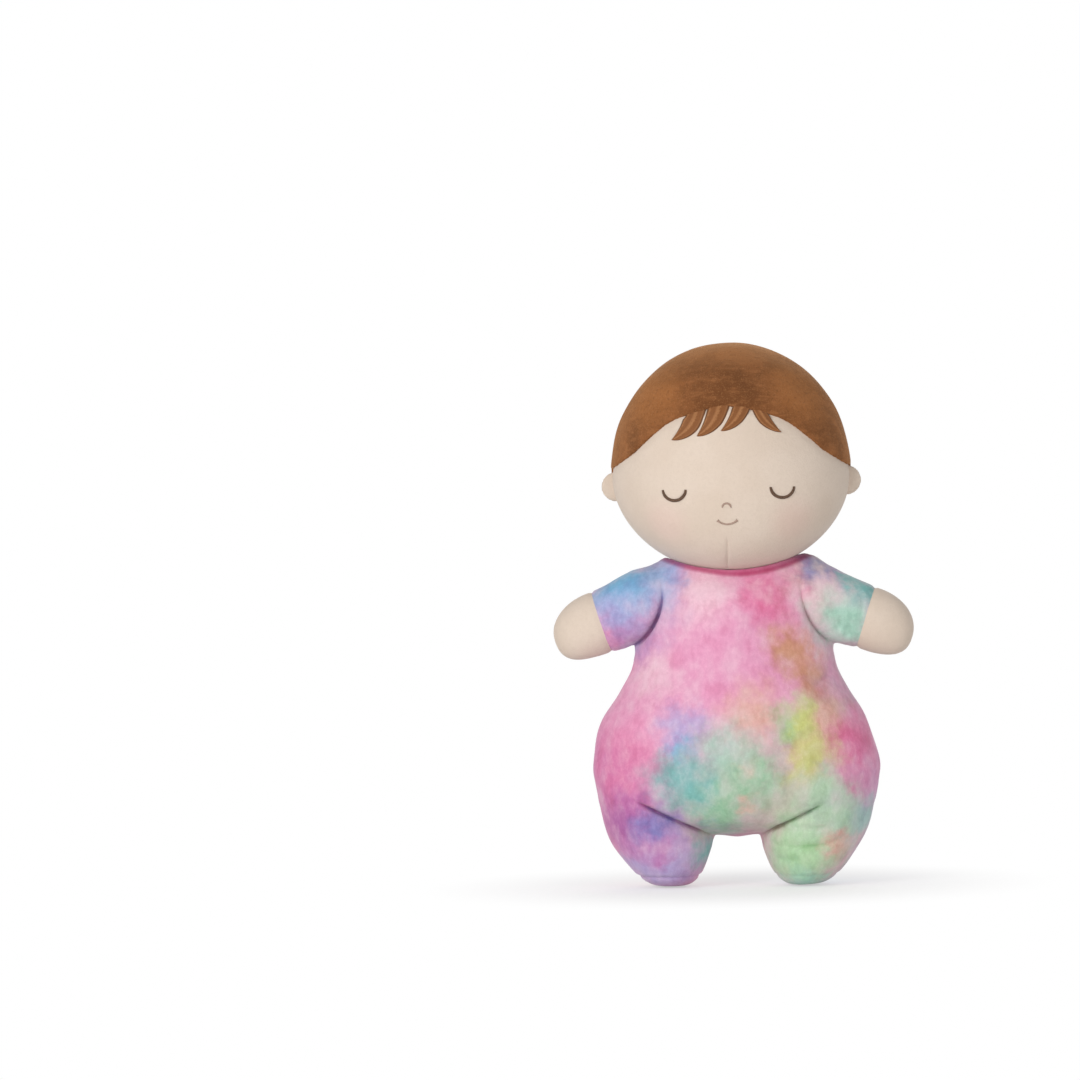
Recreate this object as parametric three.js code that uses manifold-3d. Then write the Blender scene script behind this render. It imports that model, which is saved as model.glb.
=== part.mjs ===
// A soft sewn doll with a round head, stub arms and stub legs. Each stuffed form is a fabric cover over its own
// wad of stuffing, and the head, arms and legs sit in hollows of the torso, where their seams let them flex.
// Millimetres, +Z up. The doll faces -Y, so its own left is +X. The origin is on the floor between the soles.
import * as THREE from "three";
import { mergeVertices } from "three/addons/utils/BufferGeometryUtils.js";
import Module from "manifold-3d";

const wasm = await Module();
wasm.setup();

// Fabric and clearances
const FABRIC = 1.5; // short pile fabric with its backing
const SEAM_GAP = 0.3; // between pieces that are sewn or stuffed together
const JOINT_GAP = 0.8; // between a form's round root and the hollow that it flexes in
const SWEEP_GAP = 0.5; // between the torso and a limb anywhere in its travel

// Head: levels are measured from its widest level
const HEAD_HALF_WIDTH = 63.5;
const HEAD_HALF_DEPTH = 52;
const HEAD_RISE = 67; // up to the crown
const HEAD_DROP = 55.4; // down to the underside
const HEAD_FULLNESS = 2.05; // 2 is an ellipse, and more is fuller
const NECK_OPENING_RADIUS = 20;
const CHIN_SINK = 9.1; // how far the head sinks below the torso's neckline

// Hair
const HAIRLINE_RISE = 34; // at the hairline's top
const HAIRLINE_SPREAD = 120; // the hairline drops by x squared over this
const HAIR_SIDE_SEAM_Y = 3; // the hair covers all that lies behind this plane
const LOCK_COUNT = 4;
const LOCK_SPACING = 11.9;
const LOCK_MIDDLE_X = -1.6; // of the row of locks
const LOCK_THICKNESS = 0.8;
const LOCK_ROOT_WIDTH = 10;
const LOCK_LENGTH = 13;
const LOCK_SWEEP = 11; // sideways from root to tip, to the doll's right but for the last lock

// Ears and the stitched face
const EAR_DROP = 7.7; // to the ear's middle
const EAR_HALF_HEIGHT = 8.2;
const EAR_HALF_THICKNESS = 5;
const EAR_REACH = 7; // beyond the side of the head
const THREAD_THICKNESS = 0.7;
const EYE_X = 28.9;
const EYE_DROP = 10.4; // to the eye's ends
const EYE_RADIUS = 6;
const EYE_LINE = 1.7;
const NOSE_DROP = 20.2; // to the nose's ends
const NOSE_RADIUS = 2;
const NOSE_LINE = 1;
const MOUTH_DROP = 29.8; // to the mouth's lowest point
const MOUTH_RADIUS = 7.7;
const MOUTH_HALF_ANGLE = THREE.MathUtils.degToRad(48);
const MOUTH_LINE = 1.1;

// Torso: levels are measured from the hip joints
const SEAT_DROP = 18;
const SEAT_HALF_WIDTH = 48;
const SEAT_HALF_DEPTH = 28;
const SEAT_CURVE = 6; // the level of the seat's edge above its lowest point
const BELLY_RISE = 15;
const BELLY_HALF_WIDTH = 77;
const BELLY_HALF_DEPTH = 42;
const FLARE_RISE = 44;
const FLARE_HALF_WIDTH = 70;
const FLARE_HALF_DEPTH = 40;
const WAIST_RISE = 76;
const WAIST_HALF_WIDTH = 54;
const WAIST_HALF_DEPTH = 33;
const SHOULDER_RISE = 108;
const SHOULDER_HALF_WIDTH = 51;
const SHOULDER_HALF_DEPTH = 30;
const NECKLINE_RISE = 130.2;
const NECKLINE_HALF_WIDTH = 38;
const NECKLINE_HALF_DEPTH = 27;
const NECK_STUB = 9; // the torso's rounded top above the neckline, where the head presses in

// Arms
const ARM_X = 48; // from the middle to the shoulder joint
const ARM_JOINT_DROP = 26.4; // below the neckline
const ARM_DROOP = THREE.MathUtils.degToRad(17);
const ARM_ROOT_RADIUS = 20.6;
const SLEEVE_LENGTH = 24;
const CUFF_HALF_WIDTH = 17;
const CUFF_HALF_DEPTH = 15;
const ARM_LENGTH = 49.6; // from the shoulder joint to the tip of the hand
const HAND_FULLNESS = 2.4;
const ARM_OPENING_RADIUS = 9;
const ARM_LOWER = THREE.MathUtils.degToRad(15);
const ARM_RAISE = THREE.MathUtils.degToRad(35);

// Legs
const LEG_X = 44.5; // from the middle to the hip joint
const LEG_ROOT_RADIUS = 30;
const LEG_LENGTH = 47; // from the hip joint to the rounded end of the foot
const LEG_FULLNESS = 2.2;
const FOOT_FULLNESS = 3; // the same from front to back
const LEG_LEAN = 0.19; // inward shift for each millimetre of length
const SOLE_HEIGHT = 7; // of the seam round the foot, above the rounded end
const SOLE_CUT = 0.5; // pressed flat on the floor
const LEG_OPENING_RADIUS = 14;
const LEG_BACK = THREE.MathUtils.degToRad(15);
const LEG_FORWARD = THREE.MathUtils.degToRad(20);

// Facets: stuffing has half as many sides as its cover
const HEAD_RINGS = 14;
const HEAD_SIDES = 28;
const TORSO_RINGS = 14;
const TORSO_SIDES = 28;
const LIMB_RINGS = 10;
const LIMB_SIDES = 16;
const HOLLOW_RINGS = 7;
const HOLLOW_SIDES = 12;
const BEYOND = 400; // a cutting box reaches well past the doll

// Colours
const material = (color, roughness) => new THREE.MeshStandardMaterial({ color, roughness, metalness: 0 });
const SKIN = material(0xdccbb9, 0.95);
const HAIR = material(0x8c5832, 0.9);
const LOCK = material(0x96602f, 0.85);
const SUIT = material(0xdc9bb9, 0.95);
const SLEEVE = material(0x9cc3cc, 0.95);
const EYE_THREAD = material(0x5c4433, 0.6);
const FACE_THREAD = material(0x9c8272, 0.6);
const SEAM_THREAD = material(0xd8c8bc, 0.7);
const FILL = material(0xf4f2ee, 1);

function solid(geometry) {
  const bare = geometry.clone();
  bare.deleteAttribute("normal");
  bare.deleteAttribute("uv");
  const merged = mergeVertices(bare, 1e-4);
  const vertProperties = new Float32Array(merged.attributes.position.array);
  const triVerts = new Uint32Array(merged.index.array);
  return new wasm.Manifold(new wasm.Mesh({ numProp: 3, vertProperties, triVerts }));
}

function piece(name, manifold, look, group) {
  const { vertProperties, triVerts } = manifold.getMesh();
  const geometry = new THREE.BufferGeometry();
  geometry.setAttribute("position", new THREE.BufferAttribute(vertProperties, 3));
  geometry.setIndex(new THREE.BufferAttribute(triVerts, 1));
  geometry.computeVertexNormals();
  const mesh = new THREE.Mesh(geometry, look);
  mesh.name = name;
  group.add(mesh);
}

// The half of space on one side of a plane across an axis, as a large box.
function beside(axis, level, side) {
  const box = new THREE.BoxGeometry(BEYOND, BEYOND, BEYOND);
  const shift = new THREE.Vector3();
  shift[axis] = level + (side * BEYOND) / 2;
  return solid(box.translate(shift.x, shift.y, shift.z));
}

// A stuffed form is a stack of elliptical rings. profile(t), for t from 0 to 1, gives a ring's half width w, half
// depth d, height z and sideways shift x, and it closes to a point at both ends. grow moves the skin along its normal.
function ringAt(profile, t, grow) {
  const step = 1e-4;
  const here = profile(t);
  const low = profile(Math.max(0, t - step));
  const high = profile(Math.min(1, t + step));
  const rise = high.z - low.z;
  const swell = (high.w + high.d - low.w - low.d) / 2;
  const length = Math.hypot(rise, swell);
  const out = (grow * rise) / length;
  return { w: here.w + out, d: here.d + out, z: here.z - (grow * swell) / length, x: here.x ?? 0 };
}

function skin(profile, count, sides, grow = 0) {
  const first = profile(0);
  const last = profile(1);
  const points = [first.x ?? 0, 0, first.z - grow];
  for (let i = 1; i < count; i++) {
    const { w, d, z, x } = ringAt(profile, i / count, grow);
    for (let j = 0; j < sides; j++) {
      const angle = (2 * Math.PI * j) / sides;
      points.push(x + w * Math.cos(angle), d * Math.sin(angle), z);
    }
  }
  points.push(last.x ?? 0, 0, last.z + grow);
  const top = 1 + (count - 1) * sides;
  const faces = [];
  for (let j = 0; j < sides; j++) {
    const next = (j + 1) % sides;
    faces.push(0, 1 + next, 1 + j);
    for (let start = 1; start + sides < top; start += sides) {
      faces.push(start + j, start + next, start + sides + j);
      faces.push(start + next, start + sides + next, start + sides + j);
    }
    faces.push(top - sides + j, top - sides + next, top);
  }
  const geometry = new THREE.BufferGeometry();
  geometry.setAttribute("position", new THREE.Float32BufferAttribute(points, 3));
  geometry.setIndex(faces);
  return geometry;
}

// A flat outline in X and Z, carried along Y from far in front back to a plane.
function frontSlab(outline, backY) {
  const geometry = new THREE.ExtrudeGeometry(outline, { depth: BEYOND, bevelEnabled: false, curveSegments: 10 });
  return solid(geometry.rotateX(Math.PI / 2).translate(0, backY, 0));
}

function hole(radius, low, high) {
  const geometry = new THREE.CylinderGeometry(radius, radius, high - low, 24);
  return solid(geometry.rotateX(Math.PI / 2).translate(0, 0, (low + high) / 2));
}

// A ring of stitches within a cover's thickness, just inside its round opening. level(r) is the height at radius r.
function seamRing(opening, level) {
  const thread = (FABRIC - SEAM_GAP) / 2;
  const radius = opening - SEAM_GAP - thread;
  return solid(new THREE.TorusGeometry(radius, thread, 6, 16).translate(0, 0, level(radius)));
}

// Head
function headProfile(t) {
  const angle = Math.PI * (t - 0.5);
  const w = HEAD_HALF_WIDTH * Math.abs(Math.cos(angle)) ** (2 / HEAD_FULLNESS);
  const level = Math.abs(Math.sin(angle)) ** (2 / HEAD_FULLNESS);
  // Round near the crown and the neck, and shallower than wide at the ears.
  const d = w - (HEAD_HALF_WIDTH - HEAD_HALF_DEPTH) * (w / HEAD_HALF_WIDTH) ** 3;
  return { w, d, z: angle < 0 ? -HEAD_DROP * level : HEAD_RISE * level };
}

// The space that the head needs as it turns.
function headTurningProfile(t) {
  const { w, z } = headProfile(t);
  return { w, d: w, z };
}

const headForm = (grow) => solid(skin(headProfile, HEAD_RINGS, HEAD_SIDES, grow));
const hairlineAt = (x) => HAIRLINE_RISE - (x * x) / HAIRLINE_SPREAD;
const headHalfWidthBelow = (drop) => {
  return HEAD_HALF_WIDTH * (1 - (drop / HEAD_DROP) ** HEAD_FULLNESS) ** (1 / HEAD_FULLNESS);
};

// All that lies below the arched hairline and before the side seam, widened by a gap.
function faceRegion(gap) {
  const reach = HEAD_HALF_WIDTH * 1.2;
  const end = hairlineAt(reach) + gap;
  const outline = new THREE.Shape();
  outline.moveTo(-reach, -BEYOND);
  outline.lineTo(reach, -BEYOND);
  outline.lineTo(reach, end);
  outline.quadraticCurveTo(0, 2 * (HAIRLINE_RISE + gap) - end, -reach, end);
  return frontSlab(outline, HAIR_SIDE_SEAM_Y + gap);
}

// A pointed lock that hangs from the hairline and sweeps to one side.
function lockOutline(rootX, side) {
  const near = rootX + (side * LOCK_ROOT_WIDTH) / 2;
  const far = rootX - (side * LOCK_ROOT_WIDTH) / 2;
  const tipX = rootX + side * LOCK_SWEEP;
  const tipZ = hairlineAt(rootX) - LOCK_LENGTH;
  const outline = new THREE.Shape();
  outline.moveTo(near, hairlineAt(near) - SEAM_GAP);
  outline.quadraticCurveTo(near, tipZ + LOCK_LENGTH * 0.35, tipX, tipZ);
  outline.quadraticCurveTo(far, tipZ, far, hairlineAt(far) - SEAM_GAP);
  outline.closePath();
  return outline;
}

// A line of even width along an arc.
function arcLine(x, z, radius, line, start, end) {
  const outline = new THREE.Shape();
  outline.absarc(x, z, radius + line / 2, start, end, false);
  outline.absarc(x, z, radius - line / 2, end, start, true);
  outline.closePath();
  return outline;
}

// A thin patch that follows the front of the head inside an outline.
function facePatch(outline, thickness) {
  return headForm(SEAM_GAP + thickness).subtract(headForm(SEAM_GAP)).intersect(frontSlab(outline, 0));
}

function ear(side) {
  const ball = new THREE.SphereGeometry(1, 14, 10);
  ball.scale(EAR_HALF_HEIGHT, EAR_HALF_THICKNESS, EAR_HALF_HEIGHT);
  ball.translate(side * (headHalfWidthBelow(EAR_DROP) + EAR_REACH - EAR_HALF_HEIGHT), 0, -EAR_DROP);
  return solid(ball).subtract(headForm(SEAM_GAP));
}

function makeHead(group) {
  const cover = headForm(0).subtract(headForm(-FABRIC)).subtract(hole(NECK_OPENING_RADIUS, -BEYOND, 0));
  piece("face_panel", cover.intersect(faceRegion(0)), SKIN, group);
  piece("hair_cap", cover.subtract(faceRegion(SEAM_GAP)), HAIR, group);
  const fill = skin(headProfile, HEAD_RINGS, HEAD_SIDES / 2, -FABRIC - SEAM_GAP);
  piece("head_stuffing", solid(fill), FILL, group);
  const neckLevel = (r) => {
    const share = r / (HEAD_HALF_WIDTH - FABRIC / 2);
    return -(HEAD_DROP - FABRIC / 2) * (1 - share ** HEAD_FULLNESS) ** (1 / HEAD_FULLNESS);
  };
  piece("neck_seam", seamRing(NECK_OPENING_RADIUS, neckLevel), SEAM_THREAD, group);
  const nose = arcLine(0, -NOSE_DROP, NOSE_RADIUS, NOSE_LINE, 0, Math.PI);
  piece("nose", facePatch(nose, THREAD_THICKNESS), FACE_THREAD, group);
  const smileStart = 1.5 * Math.PI - MOUTH_HALF_ANGLE;
  const smileEnd = 1.5 * Math.PI + MOUTH_HALF_ANGLE;
  const mouth = arcLine(0, MOUTH_RADIUS - MOUTH_DROP, MOUTH_RADIUS, MOUTH_LINE, smileStart, smileEnd);
  piece("mouth", facePatch(mouth, THREAD_THICKNESS), FACE_THREAD, group);
  for (const [name, side] of SIDES) {
    piece(`ear_${name}`, ear(side), SKIN, group);
    const eye = arcLine(side * EYE_X, -EYE_DROP, EYE_RADIUS, EYE_LINE, Math.PI, 2 * Math.PI);
    piece(`eye_${name}`, facePatch(eye, THREAD_THICKNESS), EYE_THREAD, group);
  }
  for (let i = 0; i < LOCK_COUNT; i++) {
    const rootX = LOCK_MIDDLE_X + (i - (LOCK_COUNT - 1) / 2) * LOCK_SPACING;
    const lock = lockOutline(rootX, i < LOCK_COUNT - 1 ? -1 : 1);
    piece(`fringe_lock_${i + 1}`, facePatch(lock, LOCK_THICKNESS), LOCK, group);
  }
}

// Limbs hang along their own -Z from a ball-shaped root on the joint.
const ROOT_SHARE = 0.4; // of a limb's rings, on the ball's inner half

function rootProfile(t, radius) {
  const angle = ((t - 1 + ROOT_SHARE) / ROOT_SHARE) * (Math.PI / 2);
  const w = radius * Math.cos(angle);
  return { w, d: w, z: radius * Math.sin(angle), x: 0 };
}

function armProfile(t) {
  const handShare = 0.4;
  if (t > 1 - ROOT_SHARE) return rootProfile(t, ARM_ROOT_RADIUS);
  if (t > handShare) {
    const along = (1 - ROOT_SHARE - t) / (1 - ROOT_SHARE - handShare);
    const w = THREE.MathUtils.lerp(ARM_ROOT_RADIUS, CUFF_HALF_WIDTH, along);
    const d = THREE.MathUtils.lerp(ARM_ROOT_RADIUS, CUFF_HALF_DEPTH, along);
    return { w, d, z: -SLEEVE_LENGTH * along };
  }
  const angle = (1 - t / handShare) * (Math.PI / 2);
  const closing = Math.cos(angle) ** (2 / HAND_FULLNESS);
  const reach = Math.sin(angle) ** (2 / HAND_FULLNESS);
  const z = -SLEEVE_LENGTH - (ARM_LENGTH - SLEEVE_LENGTH) * reach;
  return { w: CUFF_HALF_WIDTH * closing, d: CUFF_HALF_DEPTH * closing, z };
}

function legProfile(side, t) {
  if (t > 1 - ROOT_SHARE) return rootProfile(t, LEG_ROOT_RADIUS);
  const angle = (1 - t / (1 - ROOT_SHARE)) * (Math.PI / 2);
  const reach = Math.sin(angle) ** (2 / LEG_FULLNESS);
  const w = LEG_ROOT_RADIUS * Math.cos(angle) ** (2 / LEG_FULLNESS);
  const d = LEG_ROOT_RADIUS * Math.max(0, 1 - reach ** FOOT_FULLNESS) ** (1 / FOOT_FULLNESS);
  return { w, d, z: -LEG_LENGTH * reach, x: -side * LEG_LEAN * LEG_LENGTH * reach };
}

// A limb's cover in two pieces, its stuffing, and the stitches round the opening at its root.
function makeLimb({ profile, rootRadius, openingRadius, splitLevel, flatLevel, names, looks }, group) {
  const form = (grow) => solid(skin(profile, LIMB_RINGS, LIMB_SIDES, grow));
  const opening = hole(openingRadius, 0, BEYOND);
  const floor = beside("z", flatLevel, -1);
  const cover = form(0).subtract(form(-FABRIC)).subtract(opening).subtract(floor);
  const [rootName, endName, fillName, seamName] = names;
  const [rootLook, endLook] = looks;
  piece(rootName, cover.intersect(beside("z", splitLevel + SEAM_GAP / 2, 1)), rootLook, group);
  piece(endName, cover.intersect(beside("z", splitLevel - SEAM_GAP / 2, -1)), endLook, group);
  piece(fillName, solid(skin(profile, LIMB_RINGS, LIMB_SIDES / 2, -FABRIC - SEAM_GAP)), FILL, group);
  const middle = rootRadius - FABRIC / 2;
  piece(seamName, seamRing(openingRadius, (r) => Math.sqrt(middle ** 2 - r ** 2)), SEAM_THREAD, group);
}

// The hollow that a limb needs in the torso: a ball at its root, and the limb itself at some turns of its travel.
// Its few facets lie outside the round shape.
function limbHollow(profile, rootRadius, group, axis, turns) {
  const ball = new THREE.SphereGeometry(rootRadius + JOINT_GAP, 20, 12);
  group.updateMatrix();
  let hollow = solid(ball.applyMatrix4(group.matrix));
  const lastRing = (HOLLOW_RINGS - 1) / HOLLOW_RINGS;
  const outside = 1 / Math.cos(Math.PI / HOLLOW_SIDES);
  const outerProfile = (t) => {
    if (t === 1) return { w: 0, d: 0, z: 0, x: 0 };
    const { w, d, z, x } = profile(Math.min(1, t / lastRing) * (1 - ROOT_SHARE));
    return { w: w * outside, d: d * outside, z, x };
  };
  const outer = skin(outerProfile, HOLLOW_RINGS, HOLLOW_SIDES, SWEEP_GAP);
  for (const turn of turns) {
    const turned = outer.clone().applyMatrix4(new THREE.Matrix4().makeRotationAxis(axis, turn));
    hollow = hollow.add(solid(turned.applyMatrix4(group.matrix)));
  }
  return hollow;
}

// Torso
const torsoCurve = new THREE.CatmullRomCurve3([
  new THREE.Vector3(0, 0, -SEAT_DROP),
  new THREE.Vector3(SEAT_HALF_WIDTH, SEAT_HALF_DEPTH, SEAT_CURVE - SEAT_DROP),
  new THREE.Vector3(BELLY_HALF_WIDTH, BELLY_HALF_DEPTH, BELLY_RISE),
  new THREE.Vector3(FLARE_HALF_WIDTH, FLARE_HALF_DEPTH, FLARE_RISE),
  new THREE.Vector3(WAIST_HALF_WIDTH, WAIST_HALF_DEPTH, WAIST_RISE),
  new THREE.Vector3(SHOULDER_HALF_WIDTH, SHOULDER_HALF_DEPTH, SHOULDER_RISE),
  new THREE.Vector3(NECKLINE_HALF_WIDTH, NECKLINE_HALF_DEPTH, NECKLINE_RISE),
  new THREE.Vector3(0, 0, NECKLINE_RISE + NECK_STUB),
]);

function torsoProfile(t) {
  const { x, y, z } = torsoCurve.getPoint(t);
  return { w: x, d: y, z };
}

function makeTorso(hollows, group) {
  const form = (grow) => solid(skin(torsoProfile, TORSO_RINGS, TORSO_SIDES, grow));
  let cover = form(0).subtract(form(-FABRIC));
  let fill = solid(skin(torsoProfile, TORSO_RINGS, TORSO_SIDES / 2, -FABRIC - SEAM_GAP));
  for (const hollow of hollows) {
    cover = cover.subtract(hollow);
    fill = fill.subtract(hollow);
  }
  piece("torso_front_panel", cover.intersect(beside("y", -SEAM_GAP / 2, -1)), SUIT, group);
  piece("torso_back_panel", cover.intersect(beside("y", SEAM_GAP / 2, 1)), SUIT, group);
  piece("torso_stuffing", fill, FILL, group);
}

// The doll's own left is +X.
const SIDES = [
  ["left", 1],
  ["right", -1],
];
const doll = new THREE.Group();
const torso = new THREE.Group();
torso.position.z = LEG_LENGTH - SOLE_CUT;
doll.add(torso);

const head = new THREE.Group();
head.position.z = NECKLINE_RISE - CHIN_SINK + HEAD_DROP;
torso.add(head);
makeHead(head);
head.updateMatrix();
const headHollow = skin(headTurningProfile, HEAD_RINGS, HEAD_SIDES, JOINT_GAP).applyMatrix4(head.matrix);
const hollows = [solid(headHollow)];

for (const [name, side] of SIDES) {
  const arm = new THREE.Group();
  arm.position.set(side * ARM_X, 0, NECKLINE_RISE - ARM_JOINT_DROP);
  arm.rotation.y = -side * (Math.PI / 2 - ARM_DROOP);
  torso.add(arm);
  const armParts = {
    profile: armProfile,
    rootRadius: ARM_ROOT_RADIUS,
    openingRadius: ARM_OPENING_RADIUS,
    splitLevel: -SLEEVE_LENGTH,
    flatLevel: -BEYOND / 2,
    names: [`sleeve_${name}`, `hand_${name}`, `arm_stuffing_${name}`, `shoulder_seam_${name}`],
    looks: [SLEEVE, SKIN],
  };
  makeLimb(armParts, arm);
  const raising = new THREE.Vector3(0, -side, 0);
  hollows.push(limbHollow(armProfile, ARM_ROOT_RADIUS, arm, raising, [-ARM_LOWER, ARM_RAISE]));

  const leg = new THREE.Group();
  leg.position.x = side * LEG_X;
  torso.add(leg);
  const profile = (t) => legProfile(side, t);
  const legParts = {
    profile,
    rootRadius: LEG_ROOT_RADIUS,
    openingRadius: LEG_OPENING_RADIUS,
    splitLevel: SOLE_HEIGHT - LEG_LENGTH,
    flatLevel: SOLE_CUT - LEG_LENGTH,
    names: [`leg_${name}`, `sole_${name}`, `leg_stuffing_${name}`, `hip_seam_${name}`],
    looks: [SUIT, SUIT],
  };
  makeLimb(legParts, leg);
  const forward = new THREE.Vector3(-1, 0, 0);
  hollows.push(limbHollow(profile, LEG_ROOT_RADIUS, leg, forward, [-LEG_BACK, 0, LEG_FORWARD]));
}
makeTorso(hollows, torso);

export default doll;
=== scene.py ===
import math

import bmesh
import bpy
import numpy as np
from mathutils import Matrix, Vector
from mathutils.kdtree import KDTree


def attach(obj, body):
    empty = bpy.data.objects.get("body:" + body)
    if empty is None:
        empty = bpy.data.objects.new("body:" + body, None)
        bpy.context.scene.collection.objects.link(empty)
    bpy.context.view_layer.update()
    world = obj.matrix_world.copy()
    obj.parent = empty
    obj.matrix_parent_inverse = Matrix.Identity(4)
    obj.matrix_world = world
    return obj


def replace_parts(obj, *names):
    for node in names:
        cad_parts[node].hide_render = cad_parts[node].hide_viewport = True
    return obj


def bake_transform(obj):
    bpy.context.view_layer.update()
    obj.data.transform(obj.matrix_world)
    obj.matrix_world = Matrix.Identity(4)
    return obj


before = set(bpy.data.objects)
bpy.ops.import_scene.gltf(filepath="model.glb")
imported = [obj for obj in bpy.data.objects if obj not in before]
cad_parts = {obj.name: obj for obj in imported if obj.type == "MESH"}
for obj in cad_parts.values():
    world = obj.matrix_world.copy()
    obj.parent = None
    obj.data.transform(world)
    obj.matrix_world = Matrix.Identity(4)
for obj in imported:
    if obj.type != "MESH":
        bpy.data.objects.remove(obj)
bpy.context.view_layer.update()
scene = bpy.context.scene
MM = 0.001
SIDES = (("left", 1), ("right", -1))

# Sizes of the head, in millimetres in the frame of the CAD model
HEAD_Z = 220.0
HEAD_HALF_WIDTH, HEAD_HALF_DEPTH, HEAD_RISE, HEAD_DROP = 63.5, 52.0, 70.0, 52.4
UPPER_FULLNESS, LOWER_FULLNESS = 2.05, 1.94
HEAD_LOW, HEAD_HIGH, HEAD_STEP = (-68, -57, 163), (68, 57, 294), 1.3
HAIRLINE = (
    (0, 256.9), (10, 255.6), (20, 253), (27, 250.8), (33, 247.5), (39, 242.8),
    (45, 237.7), (50, 233), (55, 229.6), (60, 226.2), (66, 222.5),
)
HAIR_SEAM_Y, HAIR_BELOW_EAR, HAIR_EDGE_LEAN, HAIR_AT_NAPE = 3.0, 5.5, 0.3, 10
HAIR_PROUD, HAIR_SUNK, HAIR_NAPE_LOSS, HAIR_UNEVEN = 0.9, 3.0, 0.7, 0.2
HAIR_SEAM_DEPTH = 0.8
FACE_UNEVEN, FACE_UNDER_HAIR, FACE_HAIR_DIP = 0.2, 2.4, 0.7
DART_X, DART_TOP, DART_LEAN = -0.8, 190, 0.07
DART_DEPTH, DART_WIDTH, DART_PUFF, DART_CUTS = 0.65, 0.5, 0.15, (0, -0.6, 0.6)
CHEEK_X, CHEEK_Y, CHEEK_Z = 35.0, -40.0, 195.0
EAR_X, EAR_Y, EAR_Z, EAR_RADIUS, EAR_HALF_DEPTH = 61.6, 1.0, 215.3, 8.9, 3.6
EAR_ROOM, EAR_STEP, EAR_SEAM_DEPTH = 13, 0.9, 0.5
EAR_LIFT = {"left": 1.2, "right": -0.4}
EYE_X, EYE_Z, EYE_HALF_WIDTH, EYE_DROP = 28.6, 213.8, 6.1, 5.9
EYE_LIFT = {"left": 0.6, "right": -0.1}

# Nose and mouth: middle, half width, half height, first and last angle in degrees
NOSE_ARC, MOUTH_ARC = (-0.9, 203.6, 2.3, 2.4, 0, 180), (-0.6, 202.5, 7.6, 7.6, 226, 314)

# Fringe locks: two roots, tip and bow
LOCKS = (
    ((-21.6, 254), (-10.6, 258), (-29.4, 239.8), 0.26),
    ((-9.9, 258.3), (1.9, 259.6), (-16, 241.6), 0.24),
    ((3.6, 260), (13.4, 259), (-3.2, 244.2), 0.24),
    ((12.2, 259), (19.4, 256), (28.4, 243), -0.2),
)

# Torso: half width, half depth and level of each row
TORSO = (
    (0, 0, 26.5), (48, 28, 33.5), (72.5, 39, 46), (77.5, 42, 60), (76, 42, 74), (70.3, 40, 90.5),
    (61.5, 36.5, 106), (54.5, 33.5, 122.5), (51, 29, 154.5), (46, 21.8, 167), (38, 14.5, 176.7), (0, 0, 186),
)

# Where one side of the torso is wider or narrower: side, share, level and reach
FULLER = ((-1, 0.03, 90, 16), (-1, -0.03, 47, 9), (-1, -0.08, 174, 6), (1, 0.05, 178, 5))

# Sizes of the limbs, the collar and the seams, in millimetres
SHOULDER_X, SHOULDER_Z = 48.0, 150.3
ARM_DROOP, ARM_ROOT, SLEEVE_LENGTH = math.radians(18), 20.6, 24.0
HAND_HALF_WIDTH, HAND_HALF_DEPTH, HAND_LENGTH, HAND_FULLNESS = 17, 15, 26.8, 0.83
HAND_BEND, HAND_BEND_START = 0.0035, 20
HIP_X, HIP_Z = 44.5, 46.5
LEG_HALF_WIDTH, LEG_HALF_DEPTH, LEG_LENGTH, LEG_FULLNESS, LEG_SPLAY = 30, 33, 47, 0.9, 0.19
ARMPIT_BLEND, SHOULDER_BLEND, CROTCH_BLEND = 3, 8.5, 4.5
SUIT_UNEVEN, SOLE_Z, SOLE_ROUNDING = 0.3, 0.5, 2.0
COLLAR_SNUG, COLLAR_ROOM = 0.3, 1.0
HEM_DEPTH, HEM_HEIGHT, HEM_WIDTH = 0.9, 4.0, 1.0
ARMHOLE_X, ARMHOLE_Z, ARMHOLE_RADIUS, ARMHOLE_DEPTH = 74.5, 160.0, 37.3, 3.0
CREASE_X, CREASE_Z, CREASE_SLOPE, CREASE_DEPTH = 14.0, 28.0, 0.5, 3.4
CUFF_DEPTH, SOLE_SEAM_Z, SOLE_SEAM_DEPTH = 0.7, 6.0, 0.6
SEAM_DEPTH, SEAM_WIDTH, SEAM_PUFF, SEAM_CUTS = 0.6, 0.9, 0.22, (0, -0.8, 0.8)
ARM_FROM_X, ARM_FROM_Z = 25, 117
LEG_FROM_X, LEG_BELOW_Z = 2, 75
FLANK_X, FLANK_LOW, FLANK_HIGH = 40, 12, 122

# Folds: run of points in front view, depth and width
FOLDS = (
    ([(17, 32.5), (30, 32), (46, 32.5), (56, 35)], 1.3, 1.5),
    ([(16, 24), (32, 22), (48, 23), (58, 27)], 1.2, 1.5),
    ([(17, 16.5), (26, 15), (36, 15.5)], 0.9, 1.4),
    ([(-18, 26.5), (-26, 25), (-36, 26)], 0.8, 1.6),
    ([(43, 107), (48, 111), (54, 116)], 1.1, 1.6),
    ([(68, 158), (69.5, 150), (68, 141), (64.5, 134)], 1.0, 1.2),
    ([(58, 131), (61, 135), (62, 141)], 0.9, 1.3),
    ([(53, 134), (57, 139), (58, 146)], 0.8, 1.6),
    ([(-55, 130), (-60, 134), (-62, 140)], 0.7, 1.6),
    ([(17, 40), (18.5, 48), (18, 58)], 0.7, 2.0),
)

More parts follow.
